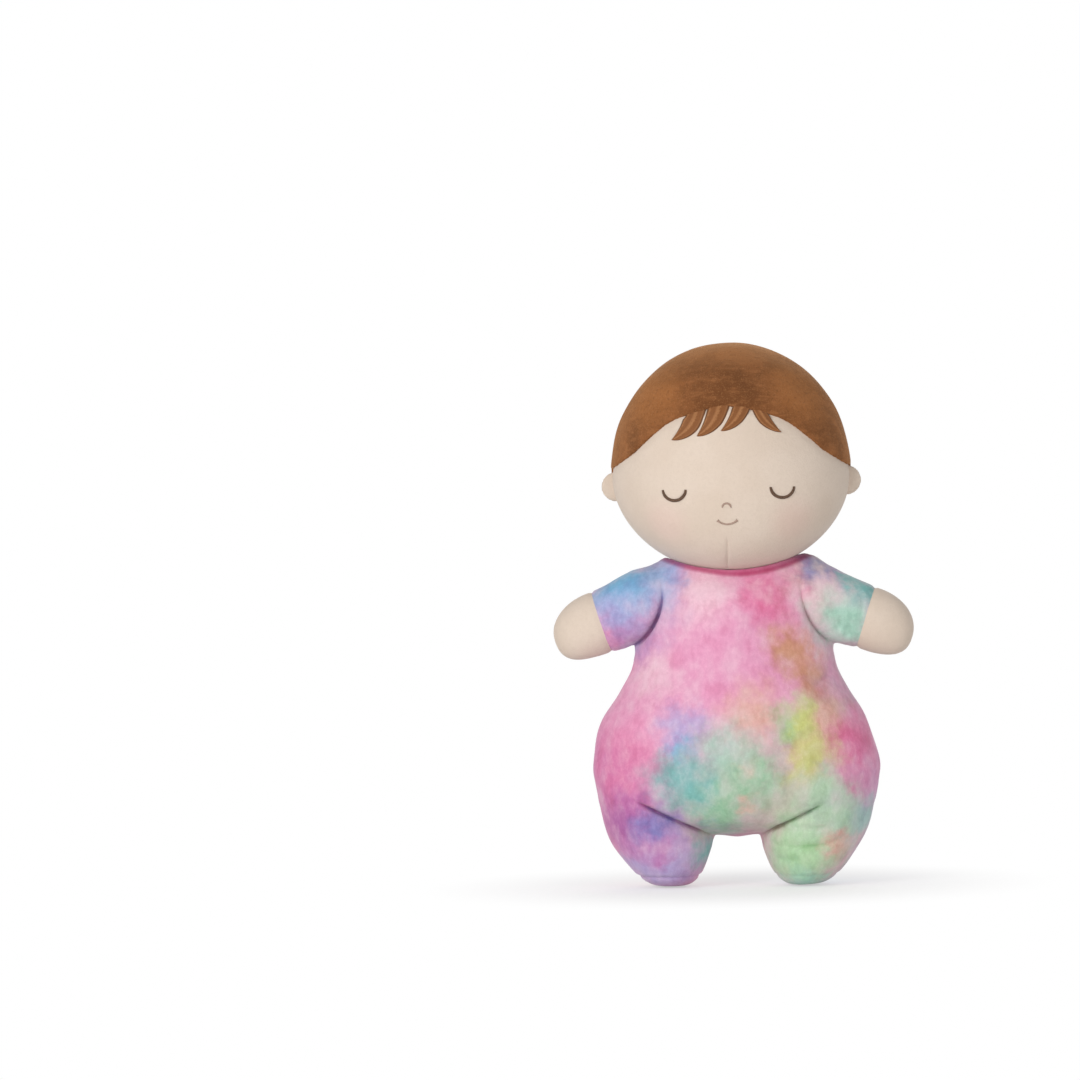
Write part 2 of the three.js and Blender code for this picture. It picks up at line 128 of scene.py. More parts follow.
# Grid and cloth of the suit, and where its limbs would begin and end to bend; nothing here bends them
BODY_LOW, BODY_HIGH, BODY_STEP = (-101, -46, -3), (101, 46, 188), 1.3
CLOTH_STEP, CLOTH_START, CLOTH_FRAMES, CLOTH_DIP, CLOTH_CAP = 4.0, 1.5, 20, -1.0, 1.6
CLOTH_PRESSURE, CLOTH_MASS, CLOTH_STIFFNESS, ARM_FIRMNESS = 5, 0.3, 15, 1.2
FOLLOW_COUNT, FOLLOW_REACH = 20, 5.5
ARM_BLEND_START, ARM_BLEND_END, LEG_BLEND_LENGTH = 52.5, 75.0, 20


# Fields: each stuffed form is a signed distance on a grid, negative inside
def smoothstep(low, high, value):
    t = np.clip((value - low) / (high - low), 0, 1)
    return t * t * (3 - 2 * t)


def smooth_min(a, b, k):
    h = np.maximum(k - np.abs(a - b), 0) / k
    return np.minimum(a, b) - h * h * k / 4


def smooth_max(a, b, k):
    return -smooth_min(-a, -b, k)


def bell(distance, width):
    return np.exp(-((distance / width) ** 2))


def curve_rows(points, steps=10):
    """A smooth run of rows through a few points."""
    p = np.array(points, float)
    p = np.vstack([2 * p[0] - p[1], p, 2 * p[-1] - p[-2]])
    rows = []
    for a, b, c, d in zip(p, p[1:], p[2:], p[3:]):
        for t in np.linspace(0, 1, steps, endpoint=False):
            cubic = (2 * a - 5 * b + 4 * c - d) * t**2 + (3 * b - a - 3 * c + d) * t**3
            rows.append(0.5 * (2 * b + (c - a) * t + cubic))
    rows.append(p[-2])
    return np.maximum(np.array(rows), [0, 0, -1e9])


class Grid:
    def __init__(self, low, high, step):
        self.low, self.step = np.array(low, float), step
        axes = [np.arange(a, b + step, step) for a, b in zip(low, high)]
        self.x, self.y, self.z = np.meshgrid(*axes, indexing="ij")

    def even(self, field):
        """The field scaled so that it rises by about 1 for each millimetre."""
        slope = np.sqrt(sum(g**2 for g in np.gradient(field, self.step)))
        return field / np.maximum(slope, 0.35)


def stack(x, y, z, rows):
    """Distance to a stack of ellipses, given as rows of half width, half depth and level."""
    w, d, level = rows.T
    ratio = np.interp(z, level, np.where(d > 1e-6, w / np.maximum(d, 1e-6), 1.0))
    r = np.hypot(x, y * ratio)
    low, high, fine = level[0] - 30, level[-1] + 30, 0.5
    tz, tr = np.arange(low, high, fine), np.arange(0, w.max() + 60, fine)
    gz, gr = np.meshgrid(tz, tr, indexing="ij")
    best = np.full(gz.shape, 1e9)
    for (r0, z0), (r1, z1) in zip(np.c_[w, level], np.c_[w, level][1:]):
        dr, dz = r1 - r0, z1 - z0
        t = np.clip(((gr - r0) * dr + (gz - z0) * dz) / max(dr * dr + dz * dz, 1e-12), 0, 1)
        best = np.minimum(best, (gr - r0 - t * dr) ** 2 + (gz - z0 - t * dz) ** 2)
    inside = (gr < np.interp(gz, level, w)) & (gz > level[0]) & (gz < level[-1])
    table = np.where(inside, -1, 1) * np.sqrt(best)
    i = np.clip((z - low) / fine, 0, len(tz) - 1.001)
    j = np.clip(r / fine, 0, len(tr) - 1.001)
    i0, j0 = i.astype(int), j.astype(int)
    u, v = i - i0, j - j0
    top = table[i0 + 1, j0] * (1 - v) + table[i0 + 1, j0 + 1] * v
    return (table[i0, j0] * (1 - v) + table[i0, j0 + 1] * v) * (1 - u) + top * u


def lumps(x, y, z, wavelength, seed):
    """Gentle unevenness, about -1 to 1."""
    rng = np.random.default_rng(seed)
    total = np.zeros_like(x)
    for _ in range(9):
        direction = rng.normal(size=3)
        direction *= 2 * math.pi / wavelength / np.linalg.norm(direction) * rng.uniform(0.7, 1.4)
        total += np.sin(direction[0] * x + direction[1] * y + direction[2] * z + rng.uniform(0, 6.28))
    return total / 4


def line_distance(x, z, points):
    """Distance to a run of points in front view, and the share of the way along it."""
    best, along = np.full(x.shape, 1e9), np.zeros(x.shape)
    count = len(points) - 1
    for i, ((x0, z0), (x1, z1)) in enumerate(zip(points, points[1:])):
        dx, dz = x1 - x0, z1 - z0
        t = np.clip(((x - x0) * dx + (z - z0) * dz) / (dx * dx + dz * dz), 0, 1)
        d = np.hypot(x - x0 - t * dx, z - z0 - t * dz)
        nearer = d < best
        best, along = np.where(nearer, d, best), np.where(nearer, (i + t) / count, along)
    return best, along


# Surfaces: a net of four-sided faces drawn through the zero level of a field
CORNERS = [(a, b, c) for a in (0, 1) for b in (0, 1) for c in (0, 1)]


def sample(field, grid, points):
    """The value of a field at each point."""
    p = np.clip((points - grid.low) / grid.step, 0, np.array(field.shape) - 1.001)
    i = p.astype(int)
    f = p - i
    total = 0
    for a, b, c in CORNERS:
        share = np.abs(1 - a - f[:, 0]) * np.abs(1 - b - f[:, 1]) * np.abs(1 - c - f[:, 2])
        total = total + share * field[i[:, 0] + a, i[:, 1] + b, i[:, 2] + c]
    return total


def steepest(field, grid, points):
    """The direction in which the field rises at each point, and how steeply."""
    slope = np.stack([sample(g, grid, points) for g in np.gradient(field, grid.step)], axis=1)
    return slope, np.linalg.norm(slope, axis=1)


def skin(field, grid, passes=4):
    """Points and faces of the net, evened out by a few passes."""
    inside = field < 0
    n = np.array(field.shape) - 1
    count = sum(inside[a:a + n[0], b:b + n[1], c:c + n[2]].astype(np.int8) for a, b, c in CORNERS)
    active = (count > 0) & (count < 8)
    index = np.full(active.shape, -1)
    index[active] = np.arange(active.sum())
    cells = np.argwhere(active)
    total, hits = np.zeros((len(cells), 3)), np.zeros(len(cells))
    quads = []
    units = np.eye(3, dtype=int)
    for axis in range(3):
        unit, u, v = units[axis], units[(axis + 1) % 3], units[(axis + 2) % 3]
        for a in (0, 1):
            for b in (0, 1):
                p = cells + a * u + b * v
                fp, fq = field[tuple(p.T)], field[tuple((p + unit).T)]
                cross = (fp < 0) != (fq < 0)
                t = fp[cross] / (fp[cross] - fq[cross])
                total[cross] += p[cross] + t[:, None] * unit
                hits[cross] += 1
        first = tuple(slice(0, s - (k == axis)) for k, s in enumerate(field.shape))
        second = tuple(slice(int(k == axis), s) for k, s in enumerate(field.shape))
        p = np.argwhere(inside[first] != inside[second])
        ring = np.stack([index[tuple(q.T)] for q in (p - u - v, p - v, p, p - u)], axis=1)
        turned = ~inside[tuple(p.T)]
        ring[turned] = ring[turned][:, ::-1]
        quads.append(ring)
    points = grid.low + grid.step * total / hits[:, None]
    quads = np.vstack(quads)
    slope = np.gradient(field, grid.step)
    starts, ends = quads.T.ravel(), quads.T[[1, 2, 3, 0]].ravel()
    number = np.bincount(starts, minlength=len(points))[:, None]
    for _ in range(passes):
        near = [np.bincount(starts, points[ends, k], len(points)) for k in range(3)]
        points = 0.5 * points + 0.5 * np.stack(near, axis=1) / number
        g = np.stack([sample(s, grid, points) for s in slope], axis=1)
        points -= (sample(field, grid, points) / np.maximum((g**2).sum(axis=1), 0.05))[:, None] * g
    return points, quads


def net(points, quads):
    """A mesh that can be cut."""
    mesh = bpy.data.meshes.new("net")
    mesh.from_pydata(points.tolist(), [], quads.tolist())
    bm = bmesh.new()
    bm.from_mesh(mesh)
    bpy.data.meshes.remove(mesh)
    return bm


def spread(bm):
    """The points of a net, and the direction out of it at each."""
    bm.normal_update()
    bm.verts.index_update()
    return np.array([v.co for v in bm.verts]), np.array([v.normal for v in bm.verts])


def cut(bm, seam, region):
    """Adds a run of edges along the zero line of a seam, where both ends of an edge are in the region."""
    places = np.array([v.co for v in bm.verts])
    value, allowed = seam(places), region(places)
    value[np.abs(value) < 0.12] = 0
    bm.verts.index_update()
    bm.edges.index_update()
    ends = np.array([(e.verts[0].index, e.verts[1].index) for e in bm.edges])
    a, b = value[ends[:, 0]], value[ends[:, 1]]
    crossing = np.flatnonzero((a * b < 0) & allowed[ends].all(axis=1))
    bm.edges.ensure_lookup_table()
    bm.verts.ensure_lookup_table()
    chosen = [bm.edges[i] for i in crossing]
    line = [bm.verts[i] for i in np.flatnonzero((value == 0) & allowed)]
    for edge, share in zip(chosen, a[crossing] / (a[crossing] - b[crossing])):
        line.append(bmesh.utils.edge_split(edge, edge.verts[0], share)[1])
    bmesh.ops.connect_verts(bm, verts=line)


def mesh_object(name, points, faces, material, normals=None, values=()):
    """A piece in metres, which keeps its places in millimetres and other values for its material."""
    mesh = bpy.data.meshes.new(name)
    mesh.from_pydata((np.asarray(points) * MM).tolist(), [], [list(map(int, f)) for f in faces])
    mesh.update()
    mesh.shade_smooth()
    if normals is not None:
        mesh.normals_split_custom_set_from_vertices(normals.tolist())
    rest = mesh.attributes.new("rest", "FLOAT_VECTOR", "POINT")
    rest.data.foreach_set("vector", np.asarray(points, np.float32).ravel())
    for key, numbers in dict(values).items():
        mesh.attributes.new(key, "FLOAT", "POINT").data.foreach_set("value", np.asarray(numbers, np.float32))
    mesh.materials.append(material)
    obj = bpy.data.objects.new(name, mesh)
    scene.collection.objects.link(obj)
    return obj


# Materials, with places in millimetres from the rest attribute
class Nodes:
    def __init__(self, name):
        self.material = bpy.data.materials.new(name)
        self.material.use_nodes = True
        self.tree = self.material.node_tree
        self.shader = self.tree.nodes["Principled BSDF"]
        self.place = self.attribute("rest", "Vector")

    def add(self, kind, inputs=(), **settings):
        node = self.tree.nodes.new(kind)
        for key, value in settings.items():
            setattr(node, key, value)
        for key, value in dict(inputs).items():
            self.put(node.inputs[key], value)
        return node

    def put(self, socket, value):
        if isinstance(value, bpy.types.NodeSocket):
            self.tree.links.new(value, socket)
        else:
            socket.default_value = value

    def attribute(self, name, out="Fac"):
        return self.add("ShaderNodeAttribute", attribute_name=name).outputs[out]

    def along(self, axis):
        return self.add("ShaderNodeSeparateXYZ", {0: self.place}).outputs[axis]

    def vector(self, operation, a, b=(0, 0, 0), out=0):
        return self.add("ShaderNodeVectorMath", {0: a, 1: b}, operation=operation).outputs[out]

    def math(self, operation, a, b=0.0):
        return self.add("ShaderNodeMath", {0: a, 1: b}, operation=operation).outputs[0]

    def noise(self, scale, detail, roughness=0.55, stretch=None, distortion=0.0, out="Fac"):
        place = self.vector("MULTIPLY", self.place, stretch) if stretch else self.place
        inputs = {"Vector": place, "Scale": scale, "Detail": detail}
        inputs.update({"Roughness": roughness, "Distortion": distortion})
        return self.add("ShaderNodeTexNoise", inputs).outputs[out]

    def ramp(self, value, low, high, out_low=0.0, out_high=1.0):
        inputs = {"Value": value, "From Min": low, "From Max": high, "To Min": out_low, "To Max": out_high}
        return self.add("ShaderNodeMapRange", inputs, interpolation_type="SMOOTHSTEP").outputs["Result"]

    def mix(self, share, a, b, blend="MIX"):
        node = self.add("ShaderNodeMix", data_type="RGBA", blend_type=blend)
        for key, value in ((0, share), (6, a), (7, b)):
            self.put(node.inputs[key], value)
        return node.outputs[2]

    def drift(self, scale, reach, detail=2.0):
        """A shift by noise, up to half the reach each way."""
        noise = self.noise(scale, detail, out="Color")
        away = self.vector("SUBTRACT", noise, (0.5, 0.5, 0.5))
        return self.vector("MULTIPLY", away, (reach, reach, reach))

    def finish(self, colour, bump, distance, roughness=0.95, sheen=0.3, sheen_tint=(1, 1, 1, 1)):
        self.put(self.shader.inputs["Base Color"], colour)
        self.shader.inputs["Roughness"].default_value = roughness
        self.shader.inputs["Specular IOR Level"].default_value = 0.15
        self.shader.inputs["Sheen Weight"].default_value = sheen
        self.shader.inputs["Sheen Roughness"].default_value = 0.5
        self.shader.inputs["Sheen Tint"].default_value = sheen_tint
        node = self.add("ShaderNodeBump", {"Strength": 0.7, "Distance": distance * MM, "Height": bump})
        self.put(self.shader.inputs["Normal"], node.outputs["Normal"])
        return self.material


def srgb(*levels):
    shares = [c / 255 for c in levels]
    linear = [c / 12.92 if c <= 0.04045 else ((c + 0.055) / 1.055) ** 2.4 for c in shares]
    return (*linear, 1.0)


def skin_material():
    """Beige velour with a faint blush on each cheek."""
    n = Nodes("beige_velour")
    cloud, pile, grain = n.noise(0.025, 2), n.noise(0.45, 3, 0.6), n.noise(1.3, 2, 0.7)
    colour = n.mix(n.ramp(cloud, 0.35, 0.65), srgb(206, 189, 173), srgb(211, 195, 180))
    colour = n.mix(n.ramp(pile, 0.4, 0.75, 0.0, 0.25), colour, srgb(199, 182, 166))
    colour = n.mix(n.ramp(grain, 0.45, 0.75, 0.0, 0.18), colour, srgb(186, 168, 152))
    for side in (1, -1):
        spot = n.vector("DISTANCE", n.place, (side * CHEEK_X, CHEEK_Y, CHEEK_Z), "Value")
        colour = n.mix(n.ramp(spot, 19.0, 4.0, 0.0, 0.2), colour, srgb(216, 170, 164))
    bump = n.math("ADD", n.math("MULTIPLY", grain, 0.5), pile)
    return n.finish(colour, bump, 0.22, sheen=0.2)


def suit_material():
    """A tie-dye of soft patches, each with a dye, x, z and radius, their edges broken up by noise."""
    n = Nodes("dyed_velour")
    pink, pale, rose = srgb(228, 160, 191), srgb(233, 195, 207), srgb(223, 119, 159)
    orchid, plum, iris = srgb(194, 130, 182), srgb(172, 96, 160), srgb(132, 132, 190)
    lilac, sky, teal = srgb(180, 170, 212), srgb(104, 180, 214), srgb(114, 188, 182)
    sage, mint, lime = srgb(146, 202, 160), srgb(178, 215, 170), srgb(207, 209, 126)
    tan, peach, foam = srgb(204, 150, 114), srgb(222, 176, 158), srgb(166, 213, 192)
    front = [
        (pale, -15, 158, 18), (rose, 19, 156, 15), (rose, 37, 168, 9), (tan, 32, 128, 13),
        (tan, 42, 114, 12), (pale, -45, 115, 14), (lilac, -27, 86, 14), (sky, -27, 75, 9),
        (peach, 10, 93, 17), (sage, 30, 88, 13), (lime, 37, 91, 13), (peach, 53, 94, 12),
        (rose, 64, 77, 16), (rose, -68, 64, 25), (foam, -4, 74, 18), (sage, 14, 60, 19),
        (sage, -9, 46, 22), (teal, -27, 58, 18), (lime, 42, 70, 14), (lime, 36, 60, 10),
        (peach, 5, 66, 8), (peach, 8, 46, 6), (rose, 61, 53, 11), (teal, 71, 39, 12),
        (mint, 42, 32, 27), (mint, 32, 14, 24), (mint, 58, 41, 11), (mint, 46, 52, 10),
        (mint, 55, 124, 9), (peach, 54, 25, 8), (plum, -59, 36, 19), (lilac, -36, 14, 21),
        (iris, -43, 33, 13), (orchid, -53, 18, 13), (orchid, -38, 21, 9), (teal, -9, 25, 11),
    ]
    sides = [
        (lilac, -36, 162, 12), (sky, -62, 164, 21), (lilac, -60, 149, 13), (orchid, -56, 134, 14),
        (lilac, -36, 179, 9), (plum, 40, 180, 12), (iris, 50, 174, 13), (iris, 62, 171, 9),
        (teal, 67, 167, 9), (pale, 48, 157, 11), (foam, 60, 141, 19), (teal, 72, 161, 13),
        (foam, 71, 36, 12), (foam, 37, 5, 10), (lilac, -50, 7, 14), (teal, -15, 18, 10),
    ]
    back = [
        (sky, -42, 152, 30), (mint, 34, 156, 27), (rose, 0, 122, 24), (teal, 42, 96, 27),
        (lime, -24, 92, 20), (orchid, -56, 60, 33), (sage, 0, 52, 26), (lilac, 50, 48, 33),
        (peach, 20, 74, 16), (sky, 40, 14, 24), (rose, -40, 14, 24), (tan, -22, 136, 15),
        (pale, 28, 130, 17),
    ]
    place = n.vector("ADD", n.place, n.drift(0.04, 13.0))
    place = n.vector("ADD", place, n.drift(0.12, 19.0, 3.0))
    colour = pink
    for patches, y in ((front, -30.0), (sides, -12.0), (back, 30.0)):
        for tint, x, z, radius in patches:
            away = n.vector("MULTIPLY", n.vector("SUBTRACT", place, (x, y, z)), (1, 0.6, 1))
            length = n.vector("LENGTH", away, out="Value")
            colour = n.mix(n.ramp(length, radius * 1.5, radius * 0.2, 0.0, 0.92), colour, tint)
    mottle = n.noise(0.1, 4, 0.55, stretch=(1, 1, 0.7))
    deep = n.mix(0.6, colour, colour, "MULTIPLY")
    colour = n.mix(n.ramp(mottle, 0.5, 0.3, 0.0, 0.5), colour, deep)
    colour = n.mix(n.ramp(mottle, 0.45, 0.75, 0.0, 0.28), colour, srgb(234, 216, 221))
    # A deeper rose band along the neckline, partly the rolled hem's own deeper dye and partly painted shadow
    # under the chin, narrower on the doll's right
    neck = n.math("ADD", n.attribute("neck"), n.ramp(n.along("X"), 12.0, -24.0, 0.0, 1.5))
    hem = n.mix(1.0, colour, srgb(230, 184, 202), "MULTIPLY")
    colour = n.mix(n.ramp(neck, 5.4, 2.6), colour, hem)
    # Painted shadow: a darker line around the neck, along the hem just below where the head sits
    line = n.math("ABSOLUTE", n.math("SUBTRACT", neck, 3.2))
    neck_shadow_line = n.mix(1.0, colour, srgb(206, 132, 164), "MULTIPLY")
    colour = n.mix(n.ramp(line, 2.6, 0.2, 0.0, 0.7), colour, neck_shadow_line)
    # Painted shade in the seams, creases and folds: the dye darkened toward its own square by how deep each
    # one pulls in
    crease_shade = n.mix(1.0, colour, colour, "MULTIPLY")
    colour = n.mix(n.ramp(n.attribute("fold"), 0.2, 2.2, 0.0, 0.75), colour, crease_shade)
    pile, grain = n.noise(0.4, 3, 0.65, stretch=(1, 1, 0.7)), n.noise(1.2, 2, 0.7)
    shade = n.mix(1.0, colour, srgb(216, 206, 212), "MULTIPLY")
    colour = n.mix(n.ramp(pile, 0.35, 0.7, 0.24, 0.0), colour, shade)
    colour = n.mix(n.ramp(grain, 0.45, 0.75, 0.24, 0.0), colour, shade)
    bump = n.math("ADD", n.math("MULTIPLY", grain, 0.5), pile)
    return n.finish(colour, bump, 0.25, sheen=0.25)


def hair_material():
    """Short brown pile brushed sideways, darker over the brow, with painted highlights on the crown and on
    each temple.
    """
    n = Nodes("brown_plush")
    cloud, streak = n.noise(0.045, 4, 0.6, distortion=0.8), n.noise(0.24, 4, 0.65, stretch=(0.4, 0.7, 1.5))
    tuft, grain = n.noise(0.5, 4, 0.7), n.noise(1.3, 2, 0.7)
    colour = n.mix(n.ramp(cloud, 0.36, 0.64), srgb(112, 68, 37), srgb(138, 86, 49))
    brow = n.vector("MULTIPLY", n.vector("SUBTRACT", n.place, (4, -44, 262)), (0.8, 0.6, 1))
    brow = n.vector("LENGTH", brow, out="Value")
    colour = n.mix(n.ramp(brow, 30.0, 6.0, 0.0, 0.7), colour, srgb(96, 57, 30))
    # Painted highlight: lighter towards the top of the crown
    colour = n.mix(n.ramp(n.along("Z"), 274.0, 290.0, 0.0, 0.5), colour, srgb(166, 110, 66))
    # Painted highlights: a lighter golden spot on each temple
    for x in (-40.0, 38.0):
        temple_highlight = n.vector("DISTANCE", n.place, (x, -28.0, 264.0), "Value")
        colour = n.mix(n.ramp(temple_highlight, 26.0, 8.0, 0.0, 0.45), colour, srgb(162, 104, 57))
    colour = n.mix(n.ramp(streak, 0.45, 0.7, 0.0, 0.45), colour, srgb(156, 102, 62))
    colour = n.mix(n.ramp(tuft, 0.5, 0.72, 0.0, 0.5), colour, srgb(92, 55, 30))
    colour = n.mix(n.ramp(grain, 0.5, 0.75, 0.0, 0.4), colour, srgb(172, 120, 78))
    bump = n.math("ADD", n.math("MULTIPLY", grain, 0.5), n.math("ADD", streak, tuft))
    return n.finish(colour, bump, 0.5, sheen=0.45, sheen_tint=srgb(230, 180, 130))


def thread_material(name, dark, light):
    n = Nodes(name)
    strand = n.noise(2.2, 2, 0.6)
    colour = n.mix(n.ramp(strand, 0.35, 0.65), dark, light)
    return n.finish(colour, strand, 0.12, roughness=0.6, sheen=0.1)


def lock_material():
    """Satin stitch: lighter strands on brown, dark along the edge."""
    n = Nodes("brown_satin_stitch")
    across, fibre = n.attribute("across"), n.noise(1.2, 3, 0.6)
    strand = n.math("SINE", n.math("ADD", n.math("MULTIPLY", across, 7.0), n.math("MULTIPLY", fibre, 2.5)))
    colour = n.mix(n.ramp(strand, -0.4, 0.95, 0.0, 0.7), srgb(128, 80, 44), srgb(166, 116, 74))
    colour = n.mix(n.ramp(fibre, 0.4, 0.7, 0.0, 0.4), colour, srgb(108, 66, 36))
    edge = n.math("ABSOLUTE", across)
    colour = n.mix(n.ramp(edge, 0.74, 0.9, 0.0, 0.85), colour, srgb(92, 56, 32))
    bump = n.math("ADD", n.math("MULTIPLY", fibre, 0.6), n.math("MULTIPLY", strand, 0.3))
    return n.finish(colour, bump, 0.25, roughness=0.6, sheen=0.1)


SKIN = skin_material()
SUIT = suit_material()
HAIR = hair_material()
LOCK = lock_material()
EYE_THREAD = thread_material("dark_brown_thread", srgb(78, 58, 45), srgb(106, 82, 65))
FACE_THREAD = thread_material("light_brown_thread", srgb(150, 126, 112), srgb(174, 150, 136))


# Head: the face in front of the hair seam, the hair as a thick cap over it
def head_rows():
    angle = np.linspace(-math.pi / 2, math.pi / 2, 81)
    power = 2 / np.where(angle < 0, LOWER_FULLNESS, UPPER_FULLNESS)
    w = HEAD_HALF_WIDTH * np.abs(np.cos(angle)) ** power
    level = np.sign(angle) * np.abs(np.sin(angle)) ** power
    d = w - (HEAD_HALF_WIDTH - HEAD_HALF_DEPTH) * (w / HEAD_HALF_WIDTH) ** 3
    w[[0, -1]] = d[[0, -1]] = 0
    return np.c_[w, d, HEAD_Z + level * np.where(level < 0, HEAD_DROP, HEAD_RISE)]


HEAD_ROWS = head_rows()


def face_y(x, z):
    """How far forward the face is."""
    w = np.interp(z, HEAD_ROWS[:, 2], HEAD_ROWS[:, 0])
    d = np.interp(z, HEAD_ROWS[:, 2], HEAD_ROWS[:, 1])
    return -d * np.sqrt(np.maximum(1 - (x / w) ** 2, 0))


def hair_region(x, y, z):
    """Positive where the hair is: above the arched hairline and behind the side seam."""
    line = np.array(HAIRLINE, float)
    over = z - np.interp(np.abs(x), *line.T)
    over = over / np.sqrt(1 + np.interp(np.abs(x), [0, 40, 66], [0, 0.75, 0.9]) ** 2)
    behind = y - HAIR_SEAM_Y - HAIR_BELOW_EAR * smoothstep(214, 205, z)
    behind = behind - HAIR_EDGE_LEAN * np.maximum(212 - z, 0) + HAIR_AT_NAPE * smoothstep(184, 170, z)
    return smooth_max(over, behind, 4.0)


def chin(p):
    """Distance to the chin dart, which leans a little to one side."""
    return p[:, 0] - DART_X + DART_LEAN * (DART_TOP - p[:, 2])


def sew_face(points, quads):
    """Draws the chin dart into the face."""
    bm = net(points, quads)
    for away in DART_CUTS:
        cut(bm, lambda p: chin(p) - away, lambda p: (p[:, 2] < DART_TOP) & (p[:, 1] < 5))
    where, normals = spread(bm)
    z = where[:, 2]
    depth = DART_DEPTH * bell(chin(where), DART_WIDTH) * smoothstep(189, 184, z) * smoothstep(169, 175, z)
    depth -= DART_PUFF * bell(np.abs(chin(where)) - 5, 4) * smoothstep(192, 180, z)
    faces = [[v.index for v in f.verts] for f in bm.faces]
    bm.free()
    return mesh_object("face", where - depth[:, None] * normals, faces, SKIN)


def make_head():
    """The face and the hair."""
    grid = Grid(HEAD_LOW, HEAD_HIGH, HEAD_STEP)
    x, y, z = grid.x, grid.y, grid.z
    head = grid.even(stack(x, y, z, HEAD_ROWS))
    region = hair_region(x, y, z)
    front = head + FACE_UNEVEN * lumps(x, y, z, 42, 3) + FACE_HAIR_DIP * bell(region, 1.8)
    face = sew_face(*skin(smooth_max(front, region - FACE_UNDER_HAIR, 0.8), grid))
    seam = HAIR_SEAM_DEPTH * bell(x, 1.5) * smoothstep(20, 40, y)
    nape = smoothstep(190, 182, z)
    uneven = HAIR_UNEVEN * (1 - nape) * lumps(x, y, z, 24, 5)
    shell = head - HAIR_PROUD + HAIR_NAPE_LOSS * nape + uneven + seam
    shell = smooth_max(shell, -(head + HAIR_SUNK), 0.8)
    return face, mesh_object("hair", *skin(smooth_max(shell, -region, 1.8), grid), HAIR)


face, hair = make_head()


# Suit with hands: torso, arms and legs as one field
def arm_rows():
    angle = np.linspace(0, math.pi / 2, 16)
    across, rise = np.cos(angle), np.sin(angle)
    tip = across**HAND_FULLNESS
    level = -SLEEVE_LENGTH - HAND_LENGTH * rise**HAND_FULLNESS
    hand = np.c_[HAND_HALF_WIDTH * tip, HAND_HALF_DEPTH * tip, level][::-1]
    root = np.c_[ARM_ROOT * across, ARM_ROOT * across, ARM_ROOT * rise]
    rows = np.vstack([hand, root])
    rows[[0, -1], :2] = 0
    return rows


def leg_rows():
    angle = np.linspace(0, math.pi / 2, 16)
    across, rise = np.cos(angle), np.sin(angle)
    reach = rise**LEG_FULLNESS
    d = LEG_HALF_DEPTH * np.maximum(0, 1 - reach**3) ** (1 / 3)
    foot = np.c_[LEG_HALF_WIDTH * across**LEG_FULLNESS, d, -LEG_LENGTH * reach][::-1]
    root = np.c_[LEG_HALF_WIDTH * across, LEG_HALF_DEPTH * across, LEG_HALF_WIDTH * rise]
    rows = np.vstack([foot, root[1:]])
    rows[[0, -1], :2] = 0
    return rows


def arm_axes(p, side):
    """Distance out along an arm, and up across it."""
    dx, dz = side * p[0] - SHOULDER_X, p[2] - SHOULDER_Z
    out = dx * math.cos(ARM_DROOP) - dz * math.sin(ARM_DROOP)
    up = dx * math.sin(ARM_DROOP) + dz * math.cos(ARM_DROOP)
    return out, up + HAND_BEND * np.maximum(out - HAND_BEND_START, 0) ** 2


def body_field(grid):
    x, y, z = grid.x, grid.y, grid.z
    fuller = sum((side * x > 0) * share * bell(z - level, reach) for side, share, level, reach in FULLER)
    body = grid.even(stack(x * (1 - fuller), y, z, curve_rows(TORSO)))
    for _, side in SIDES:
        out, up = arm_axes((x, y, z), side)
        arm = grid.even(stack(up, y, -out, arm_rows()))
        body = smooth_min(body, arm, ARMPIT_BLEND + (SHOULDER_BLEND + 1.5 * side) * smoothstep(140, 166, z))
    for _, side in SIDES:
        drop = z - HIP_Z
        leg = grid.even(stack(side * x - HIP_X - LEG_SPLAY * np.minimum(drop, 0), y, drop, leg_rows()))
        body = smooth_min(body, leg, CROTCH_BLEND)
    body = smooth_max(body, SOLE_Z - z, SOLE_ROUNDING) + SUIT_UNEVEN * lumps(x, y, z, 34, 7)
    collar = grid.even(stack(x, y, z, HEAD_ROWS)) + COLLAR_SNUG - COLLAR_ROOM * smoothstep(-8, 4, y)
    hem = HEM_DEPTH * bell(collar - HEM_HEIGHT, HEM_WIDTH)
    hem = hem * smoothstep(160, 164, z) * smoothstep(40, 30, np.abs(x))
    hem *= 0.4 + 0.6 * smoothstep(-24, 12, x)
    return smooth_max(body + hem, -collar, 1.0)


# Seams of the suit, as signed distances that are positive on the limb
def cuff(p, side):
    return arm_axes(p.T, side)[0] - SLEEVE_LENGTH


def armhole(p, side):
    return ARMHOLE_RADIUS - np.hypot(side * p[:, 0] - ARMHOLE_X, p[:, 2] - ARMHOLE_Z)


def hip(p, side):
    return (CREASE_Z - p[:, 2] + CREASE_SLOPE * (side * p[:, 0] - CREASE_X)) / math.hypot(1, CREASE_SLOPE)


def on_arm(p, side):
    return (side * p[:, 0] > ARM_FROM_X) & (p[:, 2] > ARM_FROM_Z)


def on_leg(p, side):
    return (side * p[:, 0] > LEG_FROM_X) & (p[:, 2] < LEG_BELOW_Z)


